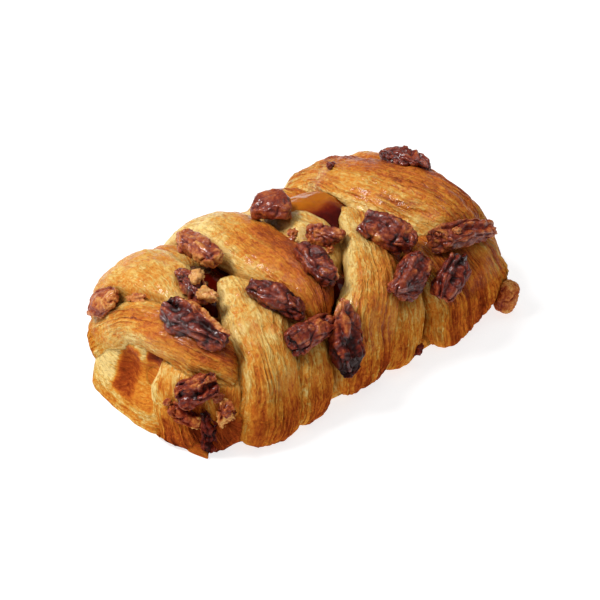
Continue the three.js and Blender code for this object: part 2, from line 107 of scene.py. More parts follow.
# Pecan pieces: place on the loaf, height of the middle, direction of the long
# axis, size; tan is how light the nut is, groove how deep its furrow, square how
# blocky, cuts the broken faces (direction in its own axes, and how far out), raw
# how light those faces are, fade how much lighter and narrow how much thinner the
# front end is than the back end, sleek how much of the skin's wrinkles syrup fills,
# and chance picks another set of small breaks.
PECANS = [
    dict(x=-52.8, turn=49.5, rise=1.4, heading=-76, pitch=-4, size=(14, 7.6, 5), tan=0.78, groove=0.1, square=0.35, sleek=0.3, raw=0.6, cuts=[((-1, 0.2, 0.1), 0.8)]),
    dict(x=-26.2, turn=77, rise=0.7, heading=-96, pitch=-3, size=(18, 8.5, 6.5), tan=0.84, groove=0.2, square=0.3, sleek=0.15, fade=0.2, cuts=[]),
    dict(x=-36.9, turn=92, rise=0.3, heading=-93, pitch=-4, size=(14, 7.5, 6.5), tan=0.45, groove=0.3, square=0.3, cuts=[((0.2, 1, 0.4), 0.6)]),
    dict(x=-45.7, turn=107, rise=1.2, heading=-82, pitch=0, size=(24, 10.5, 7.5), tan=0.16, groove=0.8, square=0.35, narrow=-0.1, chance=40, cuts=[((0.1, 1, 0.6), 0.68)]),
    dict(x=-52.4, turn=148, rise=1.5, heading=8, pitch=0, size=(14, 8.5, 7), tan=0.4, groove=0.8, square=0.45, cuts=[]),
    dict(x=-55.4, turn=172, rise=0.6, heading=-27, pitch=0, size=(11.5, 7.5, 6), tan=0.6, groove=0.1, square=0.4, cuts=[((0.3, -1, 0.4), 0.6)]),
    dict(x=-22.8, turn=117, rise=0.8, heading=-62, pitch=0, size=(18, 7.5, 6.5), tan=0.2, groove=0.25, square=0.25, cuts=[]),
    dict(x=-21.4, turn=141, rise=1, heading=1, pitch=0, size=(16.5, 8, 7), tan=0.25, groove=0.2, square=0.3, raw=0.4, cuts=[((0.2, 0.5, 1), 0.8)]),
    dict(x=-11.2, turn=153, rise=1.4, heading=-104, pitch=0, size=(21, 10, 7.5), tan=0.14, groove=0.5, square=0.4, fade=-0.6, cuts=[]),
    dict(x=1.6, turn=76, rise=1.6, heading=-52, pitch=0, size=(12.5, 12.5, 7.5), tan=0.36, groove=0.05, square=0.9, raw=0.15, sleek=0.45, cuts=[((1, 0.3, 0.1), 0.8), ((-0.4, 1, 0.2), 0.8), ((0.1, -1, 0.3), 0.82)]),
    dict(x=4.1, turn=98, rise=-0.9, heading=-51, pitch=0, size=(11.5, 6.5, 6), tan=0.45, groove=0.1, square=0.5, cuts=[]),
    dict(x=-6.1, turn=111, rise=1.2, heading=-89, pitch=0, size=(15, 9, 7), tan=0.2, groove=0.3, square=0.4, cuts=[((0.5, 1, 0.2), 0.75)]),
    dict(x=18.2, turn=113, rise=1, heading=-62, pitch=0, size=(16.8, 9.4, 7.2), tan=0.25, groove=0.15, square=0.7, raw=0.3, cuts=[((-1, 0.1, 0.1), 0.85), ((0.6, -1, 0.1), 0.8)]),
    dict(x=15.6, turn=140, rise=1.2, heading=-156, pitch=0, size=(17.5, 9.5, 7.5), tan=0.3, groove=0.2, square=0.4, raw=0.3, cuts=[((1, 0.3, 0.0), 0.82)]),
    dict(x=28.1, turn=149.5, rise=1.5, heading=-144, pitch=0, size=(18.5, 9, 7), tan=0.25, groove=0.95, square=0.5, fade=0.25, cuts=[]),
    dict(x=36.5, turn=133, rise=1.8, heading=-11, pitch=0, size=(23.5, 8, 7.5), tan=0.56, groove=0.5, square=0.85, raw=0.1, sleek=0.3, cuts=[((0, 0.4, 1), 0.72)]),
    dict(x=44.3, turn=84, rise=0.8, heading=-78, pitch=0, size=(16, 9.5, 7), tan=0.22, groove=0.6, square=0.3, cuts=[]),
    dict(x=47.6, turn=186, rise=2.4, heading=-80, pitch=0, size=(10.5, 8, 7), tan=0.84, groove=0.1, square=0.4, sleek=0.4, cuts=[]),
    dict(x=-52.1, turn=181, rise=1.6, heading=-89, pitch=0, size=(14.5, 5, 5), tan=0.0, groove=0.3, square=0.2, cuts=[]),
    dict(x=-49, turn=169, rise=1.4, heading=-100, pitch=0, size=(8.5, 5, 4.5), tan=0.9, groove=0.0, square=0.6, cuts=[((0.4, 0.4, 1), 0.6)]),
]


# ---- Noise -------------------------------------------------------------------
_dice = np.random.default_rng(20)
_PERM = _dice.permutation(256)
_GRAD = _dice.normal(size=(256, 3))
_GRAD /= np.linalg.norm(_GRAD, axis=1, keepdims=True)


def noise(x, y, z=0.0):
    """Smooth noise of about -1 to 1 at points given in units of its cell."""
    x, y, z = np.broadcast_arrays(np.asarray(x, float), np.asarray(y, float), np.asarray(z, float))
    p = np.stack([x, y, z], -1)
    cell = np.floor(p).astype(np.int64)
    f = p - cell
    w = f * f * f * (f * (f * 6 - 15) + 10)
    total = np.zeros(p.shape[:-1])
    for i in (0, 1):
        for j in (0, 1):
            for k in (0, 1):
                h = _PERM[(cell[..., 0] + i) & 255]
                h = _PERM[(h + cell[..., 1] + j) & 255]
                h = _PERM[(h + cell[..., 2] + k) & 255]
                d = f - np.array([i, j, k])
                share = (
                    (w[..., 0] if i else 1 - w[..., 0])
                    * (w[..., 1] if j else 1 - w[..., 1])
                    * (w[..., 2] if k else 1 - w[..., 2])
                )
                total += share * (_GRAD[h] * d).sum(-1)
    return total * 1.7


def cloud(p, cell, seed, octaves=3):
    """Layered noise at points p (mm)."""
    total, scale, gain = 0.0, 1.0 / cell, 1.0
    for _ in range(octaves):
        total = total + gain * noise(p[..., 0] * scale + seed * 7.3, p[..., 1] * scale - seed * 3.1, p[..., 2] * scale + seed)
        scale, gain = scale * 2.03, gain * 0.5
    return total


def cells(p, seed):
    """Distance to the nearest of a scattering of points, one in each unit cell."""
    base = np.floor(p).astype(np.int64)
    f = p - base
    best = np.full(p.shape[:-1], 9.0)
    for i in (-1, 0, 1):
        for j in (-1, 0, 1):
            for k in (-1, 0, 1):
                h = _PERM[(base[..., 0] + i + seed) & 255]
                h = _PERM[(h + base[..., 1] + j) & 255]
                h = _PERM[(h + base[..., 2] + k) & 255]
                best = np.minimum(best, np.linalg.norm(np.array([i, j, k]) + 0.5 + 0.38 * _GRAD[h] - f, axis=-1))
    return best


# ---- Envelope ----------------------------------------------------------------
def spow(v, p):
    return np.sign(v) * np.abs(v) ** p


def taper(x, n):
    share = np.minimum(0.9999, np.abs(x / np.where(x < 0, LEFT_END, RIGHT_END)) ** n)
    return np.maximum(1e-4, 1 - share) ** (1 / 2.2)


def skin(x, turn):
    x, turn = np.broadcast_arrays(np.asarray(x, float), np.asarray(turn, float))
    c, s = np.cos(np.radians(turn)), np.sin(np.radians(turn))
    wide = HALF_WIDTH * taper(x, 5)
    below = np.where(turn < 90, -turn, turn - 180) / FOOT
    across = np.where(c > 0, 2 / FAR_POWER[0], 2 / NEAR_POWER[0])
    upward = np.where(c > 0, 2 / FAR_POWER[1], 2 / NEAR_POWER[1])
    y = np.where(s < 0, np.sign(c) * (wide - 2 * below**2), wide * np.sign(c) * np.abs(c) ** across)
    z = np.where(s < 0, WAIST * (1 - below), WAIST + (HEIGHT - WAIST) * taper(x, 7) * np.abs(s) ** upward)
    return np.stack([x, y, z], -1)


def unit(v):
    return v / np.maximum(1e-12, np.linalg.norm(v, axis=-1, keepdims=True))


def skin_normal(x, turn):
    x, turn = np.broadcast_arrays(np.asarray(x, float), np.asarray(turn, float))
    along = skin(x + 0.5, turn) - skin(x - 0.5, turn)
    round_ = skin(x, turn + 1.5) - skin(x, turn - 1.5)
    return unit(np.cross(round_, along))


def on_skin(x, turn, lift):
    return skin(x, turn) + skin_normal(x, turn) * np.asarray(lift, float)[..., None]


# ---- Meshes ------------------------------------------------------------------
def closed_grid(rings, poles):
    """Faces of a closed grid: rings of points (rows, around) between two poles."""
    rows, around = rings.shape[:2]
    verts = np.concatenate([poles[:1], rings.reshape(-1, 3), poles[1:]])
    j = np.arange(around)
    k = (j + 1) % around
    faces = [tuple(f) for f in np.stack([np.zeros(around, int), 1 + k, 1 + j], 1)]
    for i in range(rows - 1):
        a, b = 1 + i * around, 1 + (i + 1) * around
        faces += [tuple(f) for f in np.stack([a + j, a + k, b + k, b + j], 1)]
    last = len(verts) - 1
    a = 1 + (rows - 1) * around
    faces += [tuple(f) for f in np.stack([np.full(around, last), a + j, a + k], 1)]
    return verts, faces


def grid_normals(rings):
    along = np.gradient(rings, axis=0)
    round_ = (np.roll(rings, -1, 1) - np.roll(rings, 1, 1)) / 2
    return unit(np.cross(along, round_))


def add_mesh(name, verts_mm, faces, values=None):
    """A mesh object from points in the strips' own millimetres."""
    me = bpy.data.meshes.new(name)
    me.from_pydata(((verts_mm - MIDDLE) * 0.001).tolist(), [], faces)
    me.update()
    bm = bmesh.new()
    bm.from_mesh(me)
    if bm.calc_volume(signed=True) < 0:
        bmesh.ops.reverse_faces(bm, faces=bm.faces[:])
        bm.to_mesh(me)
    bm.free()
    for key, v in (values or {}).items():
        me.attributes.new(key, "FLOAT", "POINT").data.foreach_set("value", np.asarray(v, np.float32))
    made = bpy.data.objects.new(name, me)
    bpy.context.scene.collection.objects.link(made)
    return made


def positions(me):
    co = np.zeros(len(me.vertices) * 3, np.float32)
    me.vertices.foreach_get("co", co)
    return co.reshape(-1, 3).astype(float)


def values_of(me, key):
    v = np.zeros(len(me.vertices), np.float32)
    me.attributes[key].data.foreach_get("value", v)
    return v.astype(float)


def set_values(me, key, v):
    if key in me.attributes:
        me.attributes.remove(me.attributes[key])
    me.attributes.new(key, "FLOAT", "POINT").data.foreach_set("value", np.asarray(v, np.float32))


def combine(a, b, operation):
    """a joined with, or cut by, b; b is used up."""
    m = a.modifiers.new("combine", "BOOLEAN")
    m.operation, m.solver, m.object = operation, "MANIFOLD", b
    me = bpy.data.meshes.new_from_object(a.evaluated_get(bpy.context.evaluated_depsgraph_get()))
    a.modifiers.clear()
    old, a.data = a.data, me
    bpy.data.meshes.remove(old)
    bpy.data.meshes.remove(b.data)
    return a


def smoothed(v, edges, count, weight, rounds):
    """v averaged with its neighbours, as far as weight allows."""
    v = v.astype(float).copy()
    w = weight if v.ndim == 1 else weight[:, None]
    degree = np.maximum(1, np.bincount(edges.ravel(), minlength=count))
    for _ in range(rounds):
        if v.ndim == 1:
            total = np.bincount(edges[:, 0], v[edges[:, 1]], count) + np.bincount(edges[:, 1], v[edges[:, 0]], count)
            v += w * (total / degree - v)
        else:
            total = np.stack(
                [np.bincount(edges[:, 0], v[edges[:, 1], c], count) + np.bincount(edges[:, 1], v[edges[:, 0], c], count) for c in range(3)], 1
            )
            v += w * (total / degree[:, None] - v)
    return v


# ---- Dough -------------------------------------------------------------------
def layer_lines(across, along, seed):
    """Rolled layers: broad strands, and thin sheets that rise slowly and end in a step."""
    wander = 1.1 * noise(along / 21, across / 11, seed) + 0.4 * noise(along / 7, across / 5, seed + 40)
    t = across / 1.5 + 1.3 * wander
    sheet = np.floor(t)
    f = t - sheet
    show = np.clip(0.45 + 1.0 * noise(sheet * 7.71, along / 11, seed + 0.37), 0, 1)
    saw = np.where(f < 0.82, f / 0.82, (1 - f) / 0.18) - 0.5
    fine = noise(across / 0.85 + wander * 2, along / 13, seed + 9.1)
    w = across / 3.3 + 0.7 * wander + 0.4 * noise(along / 30, across / 4, seed + 5.5)
    strand = np.clip(0.55 + 0.8 * noise(np.floor(w) * 5.13, along / 18, seed + 2.2), 0.1, 1) * (0.4 - np.abs(2 * (w - np.floor(w)) - 1) ** 2.5)
    return show * saw * 1.0 + 0.35 * fine + 0.9 * strand, t, show


def soften(v, reach):
    """Values along a strip, averaged with those near them."""
    v = v if v.ndim == 2 else v[:, None]
    kernel = np.exp(-0.5 * (np.arange(-3 * reach, 3 * reach + 1) / reach) ** 2)
    kernel /= kernel.sum()
    m = 3 * reach
    padded = np.concatenate([2 * v[0] - v[m:0:-1], v, 2 * v[-1] - v[-2 : -m - 2 : -1]])
    return np.stack([np.convolve(padded[:, c], kernel, "valid") for c in range(v.shape[1])], 1).squeeze()


def strip_course(spec):
    """turn, x, half width and lift in 500 steps along a strip."""
    rows = np.array(spec["rows"], float)
    at = np.abs(rows[:, 0] - rows[0, 0])
    steps = np.linspace(0, at[-1], 500)
    turn, x, half, lift = (np.interp(steps, at, rows[:, c]) for c in range(4))
    return turn, soften(x, 22), soften(half, 22), soften(lift, 22)


def pressed(points, number):
    """How far points of one strip are pressed down by the strips over it."""
    down = np.zeros(points.shape[:-1])
    for over in STRIPS[number + 1 :]:
        if not over["press"]:
            continue
        turn, x, half, lift = (v[::6] for v in strip_course(over))
        spine = skin(x, turn)
        fade = np.clip((lift + 3.5) / 2.5, 0, 1)
        gap = np.linalg.norm(points[..., None, :] - spine, axis=-1)
        k = gap.argmin(-1)
        d = np.take_along_axis(gap, k[..., None], -1)[..., 0] - half[k]
        b = np.clip((3.2 - d) / 5.5, 0, 1)
        down = np.maximum(down, over["press"] * fade[k] * b * b * (3 - 2 * b))
    return down


def strip_mesh(spec, number):
    fine = np.linspace(0, 1, 500)
    turn, x, wide, lift = strip_course(spec)
    spine = soften(on_skin(x, turn, lift - spec["thick"]), 10)
    normal = unit(soften(skin_normal(x, turn), 10))
    run = np.concatenate([[0], np.cumsum(np.linalg.norm(np.diff(spine, axis=0), axis=1))])
    length = run[-1]
    rows = int(length / 0.9)
    # rows are closer together at both rounded ends
    even = np.linspace(0, 1, rows + 2)[1:-1]
    share = even - 0.02 * np.sin(2 * np.pi * even)
    pick = lambda v: np.stack([np.interp(share * length, run, v[:, c]) for c in range(3)], 1)
    s = np.interp(share * length, run, fine)
    centre, n = pick(spine), unit(pick(normal))
    t = unit(np.gradient(centre, axis=0))
    left = unit(np.cross(t, n))
    n = np.cross(left, t)
    half = np.interp(s, fine, wide) * (1 + 0.06 * noise(share * 4, number * 3.3, 0.5) + 0.05 * noise(share * 15, number * 2.3, 4.5))
    ends = np.sqrt(np.maximum(0, 1 - np.abs(2 * share - 1) ** 7))

    # section: closely spaced points over the top, few underneath
    u = np.linspace(0, np.pi, 2000)
    mean, boxy = half.mean(), spec.get("boxy", 0.92)
    prof = np.stack([spow(np.cos(u), boxy) * mean, spow(np.sin(u), boxy) * spec["thick"]], 1)
    arc = np.concatenate([[0], np.cumsum(np.linalg.norm(np.diff(prof, axis=0), axis=1))])
    over = int(arc[-1] / 0.32)
    u_top = np.interp(np.linspace(0, arc[-1], over), arc, u)
    u_low = np.linspace(np.pi, 2 * np.pi, 14)[1:-1]
    uu = np.concatenate([u_top, u_low])
    q = np.concatenate([np.linspace(0.5, -0.5, over), np.linspace(-0.5, 0.5, 14)[1:-1]]) * arc[-1]
    cu, su = spow(np.cos(uu), boxy), spow(np.sin(uu), boxy)
    deep = np.where(su > 0, spec["thick"], 3.6)
    tilt = math.tan(math.radians(spec["roll"]))

    side = cu[None, :] * (half * ends)[:, None]
    up = (su * deep)[None, :] * ends[:, None] + tilt * side
    rings = centre[:, None] + left[:, None] * side[..., None] + n[:, None] * up[..., None]
    poles = np.stack([centre[0] - t[0] * 0.3, centre[-1] + t[-1] * 0.3])

    along = (share * length)[:, None] + 0 * q[None, :]
    across = q[None, :] + 0 * along
    lines, sheet, show = layer_lines(across, along, number * 11.7)
    down = pressed(rings, number)
    edge = np.abs(cu)[None, :] ** 4 + 0 * along
    bake = np.interp(s, np.linspace(0, 1, len(spec["bake"])), spec["bake"])[:, None] + spec["lean"] * cu[None, :] - 0.35 * edge - 0.08 * down
    blister = np.clip(0.3 - cells(rings / 4.6, number * 3 + 1), 0, 1) * (su > 0)[None, :] * np.clip(1.2 * noise(along / 14, across / 9, number + 3.3) + 0.3, 0, 1)
    bake = bake + 1.3 * blister + 0.15 * noise(along / 16, across / 5, number + 0.3) + 0.08 * noise(along / 9, across / 2.2, number + 6.3)
    mask = spec["layer"] * np.clip(0.6 + 0.6 * noise(along / 15, across / 7, number + 0.8), 0.15, 1) * np.clip(0.5 + 0.8 * bake, 0.4, 1.1)
    mask = mask * (0.55 + 0.45 * np.clip((31 - rings[..., 2]) / 12, 0, 1))
    top = (su > 0)[None, :] * 1.0
    puff = 0.6 * cloud(rings, 12, number + 1.0, 2) + 0.28 * cloud(rings, 4.2, number + 2.0, 2) + 0.15 * cloud(rings, 1.7, number + 4.0, 1) + 1.6 * blister
    rings = rings + grid_normals(rings) * ((puff + 0.72 * mask * lines) * top * ends[:, None])[..., None]
    rings = rings - n[:, None] * down[..., None]
    poles = poles - np.stack([n[0] * down[0].mean(), n[-1] * down[-1].mean()])
    verts, faces = closed_grid(rings, poles)

    def spread(v):
        v = v + 0 * along
        return np.concatenate([[v[0].mean()], v.ravel(), [v[-1].mean()]])

    return add_mesh(
        spec["name"], verts, faces,
        dict(strip=spread(number + 1.0), lines=spread(lines * mask), bake=spread(bake), layer=spread(mask), across=spread(across), along=spread(along), sheet=spread(sheet), show=spread(show * np.clip(mask * 1.6, 0, 1))),
    )


def rounded_block(name, at, size, power, rows, around, number, shape=None, rough=0.35, bake=0.3):
    """A rounded block of dough; shape may press it in."""
    e = 2 / power
    v = np.linspace(0, np.pi, rows + 2)[1:-1, None]
    u = np.linspace(0, 2 * np.pi, around, endpoint=False)[None, :]
    r = spow(np.sin(v), e)
    p = np.stack(
        [at[0] + size[0] * r * spow(np.cos(u), e), at[1] + size[1] * r * spow(np.sin(u), e), at[2] + size[2] * spow(np.cos(v), e) + 0 * u], -1
    )
    p = p + grid_normals(p) * (rough * cloud(p, 8, number, 3))[..., None]
    if shape:
        p = shape(p)
    poles = np.array([[at[0], at[1], at[2] + size[2]], [at[0], at[1], at[2] - size[2]]])
    verts, faces = closed_grid(p, poles)
    n = len(verts)
    across, along = verts[:, 2] * 1.2, verts[:, 1] + verts[:, 0]
    lines, sheet, show = layer_lines(across, along, number)
    tint = bake + 0.25 * cloud(verts, 9, number, 2)
    return add_mesh(name, verts, faces, dict(strip=np.full(n, number), lines=0.4 * lines, bake=tint, layer=np.full(n, 0.4), across=across, along=along, sheet=sheet, show=0.5 * show))


def creased(p, middle, out, lean, creases):
    """An end flap's creases, pressed in from outside, and its foot leaning out."""
    p = p.copy()
    p[..., 0] += out * lean * np.clip(1 - p[..., 2] / 13, 0, 1.2)
    for c in creases:
        reach = np.clip((p[..., 2] - c["low"]) / 3, 0, 1) * np.clip((c["high"] - p[..., 2]) / 3, 0, 1)
        p[..., 0] -= out * c["deep"] * reach * np.exp(-(((p[..., 1] - c["y"]) / (c["wide"] / 2)) ** 2)) * (out * (p[..., 0] - middle) > 0)
    return p


def core_mesh():
    rows, around = 110, 120
    s = np.linspace(0, 1, rows + 2)[1:-1, None]
    u = np.linspace(0, 2 * np.pi, around, endpoint=False)[None, :]
    reach = np.where(s > 0.5, LEFT_END, RIGHT_END) - 4
    x = reach * np.cos(np.pi * s)
    end = np.sqrt(np.maximum(0, 1 - (x / reach) ** 8))
    y = HALF_WIDTH * CORE_SHARE * end * spow(np.cos(u), 0.8)
    z = WAIST + (HEIGHT - 9 - WAIST) * end * spow(np.sin(u), 0.85)
    p = np.stack(np.broadcast_arrays(x, y, z), -1)
    p = p + grid_normals(p) * (0.5 * cloud(p, 9, 3.0, 3))[..., None]
    verts, faces = closed_grid(p, np.array([[RIGHT_END - 4, 0, WAIST], [-LEFT_END + 4, 0, WAIST]]))
    n = len(verts)
    return add_mesh("core", verts, faces, dict(strip=np.full(n, 30.0), lines=np.zeros(n), bake=0.7 + 0.8 * np.clip((verts[:, 2] - 17) / 4, 0, 1), layer=np.full(n, 0.3), across=verts[:, 2], along=verts[:, 0], sheet=verts[:, 2], show=np.zeros(n)))


def pointed_foot(name, at, size, number):
    """A small drawn-out tip of dough, thinner towards -Y."""
    def drawn(p):
        p = p.copy()
        s = np.clip((at[1] - p[..., 1]) / size[1], 0, 1)
        p[..., 0] = at[0] + (p[..., 0] - at[0]) * (1 - 0.8 * s) - 1.6 * s
        p[..., 2] = p[..., 2] * (1 - 0.75 * s)
        return p

    return rounded_block(name, at, size, 2.2, 26, 36, number, drawn, rough=0.2, bake=0.7)


def filling_mesh(grow, name):
    f = FILLING
    made = rounded_block(
        name, ((f["start"] + f["stop"]) / 2, 0, (f["low"] + f["top"]) / 2),
        ((f["stop"] - f["start"]) / 2 + grow, f["half"] + grow, (f["top"] - f["low"]) / 2 + grow), 4, 40, 60, 50.0, rough=0.0,
    )
    for i, pool in enumerate(POOLS):
        c = on_skin(pool["x"], pool["turn"], np.array(pool["top"] - pool["size"][2]))
        blob = rounded_block(name + "_pool", c, [v + grow for v in pool["size"]], 2.4, 60, 80, 51.0 + i, rough=0.5)
        made = combine(made, blob, "UNION")
    return made


def make_dough():
    dough = core_mesh()
    parts = [
        rounded_block("sheet", ((RIGHT_END - LEFT_END) / 2, 0, 0), ((LEFT_END + RIGHT_END) / 2 - SHEET_INSET, HALF_WIDTH - SHEET_INSET, SHEET_TOP), 4, 60, 240, 31.0),
        rounded_block("flap", FLAP_AT, FLAP_SIZE, 3, 110, 150, 32.0, lambda p: creased(p, FLAP_AT[0], -1, 4.2, CREASES), bake=-0.32),
        rounded_block("right_flap", RIGHT_FLAP_AT, RIGHT_FLAP_SIZE, 3, 110, 150, 34.0, lambda p: creased(p, RIGHT_FLAP_AT[0], 1, 1.5, RIGHT_CREASES), bake=0.35),
        pointed_foot("foot", (-53.6, -23.5, 1.5), (3.6, 5.8, 4.5), 33.0),
    ]
    parts += [strip_mesh(spec, i) for i, spec in enumerate(STRIPS)]
    for p in parts:
        dough = combine(dough, p, "UNION")
    co = np.array([[x, y, z] for x in (-200, 200) for y in (-200, 200) for z in (-100, 0)], float)
    box = add_mesh("ground_box", co + MIDDLE, [(0, 1, 3, 2), (4, 6, 7, 5), (0, 4, 5, 1), (2, 3, 7, 6), (0, 2, 6, 4), (1, 5, 7, 3)])
    dough = combine(dough, box, "DIFFERENCE")
    dough = combine(dough, filling_mesh(0.08, "hollow"), "DIFFERENCE")
    dough.name = dough.data.name = "plait_dough"
    return dough


dough = make_dough()


# ---- Pecans ------------------------------------------------------------------
def pecan_mesh(spec, number):
    rows, around = 90, 100
    L, W, T = spec["size"]
    block = spec["square"]
    dice = np.random.default_rng(100 + number + spec.get("chance", 0))
    s = np.linspace(0, 1, rows + 2)[1:-1, None]
    u = np.linspace(0, 2 * np.pi, around, endpoint=False)[None, :]
    r = np.sin(np.pi * s) ** (0.62 - 0.26 * block)
    e = 0.9 - 0.2 * block
    x = L / 2 * np.cos(np.pi * s) + 0 * u
    wide_here = 1 + 0.22 * noise(x / 5.5, number * 3.1, 0.4) - spec.get("narrow", 0.0) * x / L
    high_here = 1 + 0.18 * noise(x / 5.0, number * 3.1, 7.4)
    bend = 0.1 * W * noise(x / L * 2, number * 1.9, 0.2)
    p = np.stack([x, W / 2 * r * spow(np.cos(u), e) * wide_here + bend, T / 2 * r * spow(np.sin(u), e) * high_here], -1)
    # broken faces, some named and some by chance
    cuts = list(spec["cuts"])
    for _ in range(5 + int(5 * block)):
        d = dice.normal(size=3) * (0.7, 1, 1)
        cuts.append((d, dice.uniform(0.66, 0.9)))
    broken = 0.0
    crumb = 0.12 + 0.7 * np.clip((cloud(p, 6.0, number + 30.0, 2) - 0.55 + 0.9 * spec["tan"]) / 0.4, 0, 1)
    for i, (d, far) in enumerate(cuts):
        d = np.array(d, float) / np.linalg.norm(d)
        reach = p @ d
        over = reach - far * reach.max() - 0.3 * cloud(p, 2.8, number + 90.0 + i, 2)
        p = p - d * (np.maximum(0, over) * 0.92)[..., None]
        if i < len(spec["cuts"]):
            broken = np.maximum(broken, np.clip(over / 0.4 + 0.3, 0, 1))
            crumb = np.maximum(crumb, broken * spec.get("raw", 1.0))
    n = grid_normals(p)
    if (n * p).sum() < 0:
        n = -n
    body = np.sin(np.pi * s) ** 0.5
    furrow = 0.0
    for at, deep, broad in ((90, 1.0, 0.2), (40, 0.5, 0.16), (138, 0.5, 0.16), (5, 0.35, 0.14), (175, 0.35, 0.14)):
        wander = 0.35 * noise(x / 6, number * 2.7, at * 0.37) + 0.12 * noise(x / 2.2, number * 2.7, at * 0.61)
        furrow = furrow + deep * np.exp(-(((u - math.radians(at) + wander) / broad) ** 2)) * np.clip(0.75 + 0.8 * noise(x / 5, at * 0.9, number * 1.3), 0.1, 1.2)
    furrow = furrow * spec["groove"] * T * 0.34 * body
    # rounded wrinkles with sharp valleys along the skin, crumbs where it is broken
    bent = 0.5 * noise(x / 4, np.cos(u) * 1.5, np.sin(u) * 1.5 + number)
    valley = np.abs(noise(np.cos(u) * 1.5 + bent, np.sin(u) * 1.5, x / 7.5 + number * 5.1))
    wrinkle = np.minimum(1, valley * 3.2) ** 0.7
    cross = np.minimum(1, np.abs(noise(p[..., 0] / 3.0 + number, p[..., 1] / 6, p[..., 2] / 6)) * 3.0) ** 0.7
    lumps = cloud(p, 4.6, number + 60.0, 2)
    crack = noise(p[..., 0] / 5.5 + number * 1.7, p[..., 1] / 3.8, p[..., 2] / 3.8 + 0.3 * lumps)
    crevice = np.exp(-((crack / 0.11) ** 2)) * np.clip(0.7 + 0.9 * noise(p[..., 0] / 4, p[..., 1] / 4, p[..., 2] / 4 + number * 2.3), 0, 1)
    nubs = 0.6 - cells(p / 1.25, number * 13 + 5)
    small = 0.6 - cells(p / 0.7, number * 17 + 9)
    h = (1 - 0.6 * crumb) * (0.5 * (wrinkle - 0.75) + 0.25 * (cross - 0.75)) + (0.2 + crumb) * (0.5 * nubs + 0.45 * small) + 0.42 * lumps - 0.75 * crevice
    plain = 1 - spec.get("sleek", 0.0)
    p = p + n * (plain * h - furrow)[..., None]
    verts, faces = closed_grid(p, np.array([p[0].mean(0) + [0.1, 0, 0], p[-1].mean(0) - [0.1, 0, 0]]))

    normal = skin_normal(spec["x"], spec["turn"])
    ex = unit(np.array([1.0, 0, 0]) - normal * normal[0])
    ey = np.cross(normal, ex)
    a, tip = math.radians(spec["heading"]), math.radians(spec["pitch"])
    long = ex * math.cos(a) + ey * math.sin(a)
    wide = np.cross(normal, long)
    long, high = long * math.cos(tip) + normal * math.sin(tip), normal * math.cos(tip) - long * math.sin(tip)
    centre = on_skin(spec["x"], spec["turn"], np.array(spec["rise"]))
    verts = centre + verts[:, :1] * long + verts[:, 1:2] * wide + verts[:, 2:] * high
    # painted light and shade: the nut's tone is darker in its furrows, wrinkle valleys and crevices and lighter on its
    # raised lumps and nubs; its broken, crumbly faces are also truly lighter
    hollow_shade = np.clip(1.4 * furrow / T * 2.5, 0, 1) + (1 - 0.6 * crumb) * (0.7 * (1 - wrinkle) + 0.4 * (1 - cross)) + 0.9 * crevice
    tone = 0.46 + 0.35 * (spec["tan"] - 0.25) + 0.12 * lumps - 0.38 * plain * hollow_shade + plain * crumb * (0.14 + 0.45 * nubs + 0.45 * small) + 0.16 * spec.get("raw", 1.0) * broken
    tone = tone + spec.get("fade", 0.0) * x / L + 0.1 * cloud(p, 3.0, number + 70.0, 2)
    ends = lambda v: np.concatenate([[v[0].mean()], v.ravel(), [v[-1].mean()]])
    return add_mesh("nut_%02d" % (number + 1), verts, faces, dict(tone=ends(tone), crumb=ends(crumb)))


nuts = [pecan_mesh(spec, i) for i, spec in enumerate(PECANS)]
filling = filling_mesh(0.0, "maple_pools")

# ---- Dough surface -----------------------------------------------------------
me = dough.data
bm = bmesh.new()
bm.from_mesh(me)
bmesh.ops.triangulate(bm, faces=[f for f in bm.faces if len(f.verts) > 4])
bm.to_mesh(me)
bm.free()
count = len(me.vertices)
edges = np.zeros(len(me.edges) * 2, np.int32)
me.edges.foreach_get("vertices", edges)
edges = edges.reshape(-1, 2)
co = positions(me) * 1000 + MIDDLE
strip = values_of(me, "strip")
seam = strip < 0.5
flat = co[:, 2] < 0.02
spread = smoothed(seam * 1.0, edges, count, np.ones(count), 3)
weight = np.clip(spread * 2.2, 0, 0.65)
weight[flat] = 0
co = smoothed(co, edges, count, weight, 7)
co[:, 2] = np.maximum(co[:, 2], 0)
me.vertices.foreach_set("co", ((co - MIDDLE) * 0.001).astype(np.float32).ravel())
me.update()

degree = np.maximum(1, np.bincount(edges.ravel(), minlength=count))
known = (~seam) * 1.0
fields = {}
for key in ("lines", "bake", "layer", "across", "along", "sheet", "show", "strip"):
    v = values_of(me, key) * known
    k = known.copy()
    for _ in range(4):
        nv = np.bincount(edges[:, 0], v[edges[:, 1]], count) + np.bincount(edges[:, 1], v[edges[:, 0]], count)
        nk = np.bincount(edges[:, 0], k[edges[:, 1]], count) + np.bincount(edges[:, 1], k[edges[:, 0]], count)
        fill = (k == 0) & (nk > 0)
        v[fill], k[fill] = nv[fill] / nk[fill], 1
    fields[key] = v

normals = np.zeros(count * 3, np.float32)
me.vertex_normals.foreach_get("vector", normals)
normals = normals.reshape(-1, 3).astype(float)

# how far each point can see: little in the creases between strips and beside the nuts, where the dough is made paler
# and its colour is darkened as painted shade
all_v, all_f = [], []
for o in [dough, filling] + nuts:
    start = sum(len(v) for v in all_v)
    all_v.append(positions(o.data))
    all_f += [tuple(start + i for i in p.vertices) for p in o.data.polygons]
tree = BVHTree.FromPolygons(np.concatenate(all_v).tolist(), all_f)
dice = np.random.default_rng(7)
rays = unit(dice.normal(size=(10, 3)))
open_ = np.zeros(count)
base = co - MIDDLE
for r in rays:
    d = unit(normals * 1.15 + r)
    start = (base + normals * 0.12) * 0.001
    hits = np.array([1.0 if h is None else min(1.0, h / 0.011) for h in (tree.ray_cast(Vector(a), Vector(b), 0.011)[3] for a, b in zip(start, d))])
    open_ += hits / len(rays)
crease = smoothed(1 - open_, edges, count, np.full(count, 0.7), 4)

